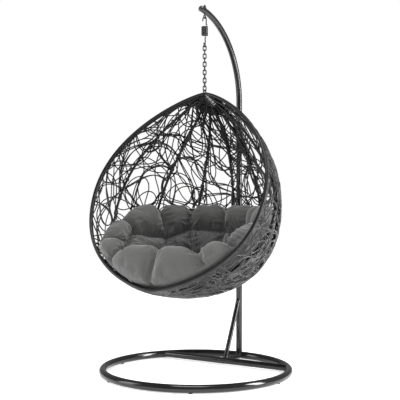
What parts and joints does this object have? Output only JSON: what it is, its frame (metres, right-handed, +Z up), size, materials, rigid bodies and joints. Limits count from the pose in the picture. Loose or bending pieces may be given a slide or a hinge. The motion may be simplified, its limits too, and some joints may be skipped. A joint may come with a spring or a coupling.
{
  "type": "hanging egg chair",
  "caption": "Woven egg-shaped basket seat with a tufted pad, hung by chain and spring from a curved steel arm on a round floor ring.",
  "frame": {"origin": "centre of the floor ring, on the floor", "axes": "+Z up, the open front of the basket faces -Y, the sitter's left is +X"},
  "size_m": [1.062, 1.0198, 1.9582],
  "materials": {
    "stand_paint": "gloss",
    "black_steel": "satin",
    "fasteners": "satin",
    "basket_frame": "satin",
    "wicker": "satin",
    "cushion_fabric": "matte",
    "rubber_pads": "matte",
    "cap_plastic": "gloss"
  },
  "bodies": {
    "stand": {"arm_bolt": "fasteners", "arm_bolt_nut": "fasteners", "arm_end_cap": "cap_plastic", "brace_bolt": "fasteners", "brace_bolt_nut": "fasteners", "cross_bar": "stand_paint", "diagonal_brace": "stand_paint", "eye_bolt": "black_steel", "eye_bolt_nut": "black_steel", "eye_bolt_saddle": "black_steel", "floor_glides": "rubber_pads", "foot_bar": "stand_paint", "lower_post": "stand_paint", "post_bolt": "fasteners", "post_bolt_nut": "fasteners", "post_spigot": "stand_paint", "ring_front_tube": "stand_paint", "ring_rear_tube": "stand_paint", "ring_screws": "fasteners", "ring_sleeve_left": "stand_paint", "ring_sleeve_right": "stand_paint", "upper_arm": "stand_paint"},
    "upper_hook": {"spring_upper_hook": "black_steel", "spring_coil": "black_steel"},
    "lower_hook": {"spring_lower_hook": "black_steel"},
    "chain_upper": {"chain_link_01": "black_steel", "chain_link_02": "black_steel", "chain_link_03": "black_steel", "chain_link_04": "black_steel", "chain_link_05": "black_steel"},
    "chain_lower": {"chain_link_06": "black_steel", "chain_link_07": "black_steel", "chain_link_08": "black_steel", "chain_link_09": "black_steel", "chain_link_10": "black_steel", "chain_link_11": "black_steel"},
    "basket": {"rim_hoop": "basket_frame", "crown_eye": "basket_frame", "wicker_shell": "wicker", "crown_cap": "wicker", "foot_cap": "wicker", "cushion": "cushion_fabric", "rib_1": "basket_frame", "rib_2": "basket_frame", "rib_3": "basket_frame", "rib_4": "basket_frame", "rib_5": "basket_frame", "rib_6": "basket_frame", "rib_7": "basket_frame"}
  },
  "joints": [
    {"name": "fore_aft_swing", "type": "hinge", "parent": "stand", "child": "upper_hook", "pos_m": [0, 0.086, 1.89215], "axis": [-1, 0, 0], "range_deg": [-0.8, 20]},
    {"name": "spring_stretch", "type": "slide", "parent": "upper_hook", "child": "lower_hook", "axis": [0, 0, -1], "range_m": [0, 0.03], "stiffness_N_per_m": 30000, "springref_m": -0.022, "deforming": ["spring_coil"]},
    {"name": "side_swing", "type": "hinge", "parent": "lower_hook", "child": "chain_upper", "pos_m": [0, 0.086, 1.73365], "axis": [0, 1, 0], "range_deg": [-15, 15]},
    {"name": "basket_turn", "type": "hinge", "parent": "chain_upper", "child": "chain_lower", "pos_m": [0, 0.086, 1.62965], "axis": [0, 0, 1], "range_deg": [-17, 17]},
    {"name": "basket_tilt", "type": "hinge", "parent": "chain_lower", "child": "basket", "pos_m": [0, 0.086, 1.5008], "axis": [-1, 0, 0], "range_deg": [-0.5, 10]}
  ]
}
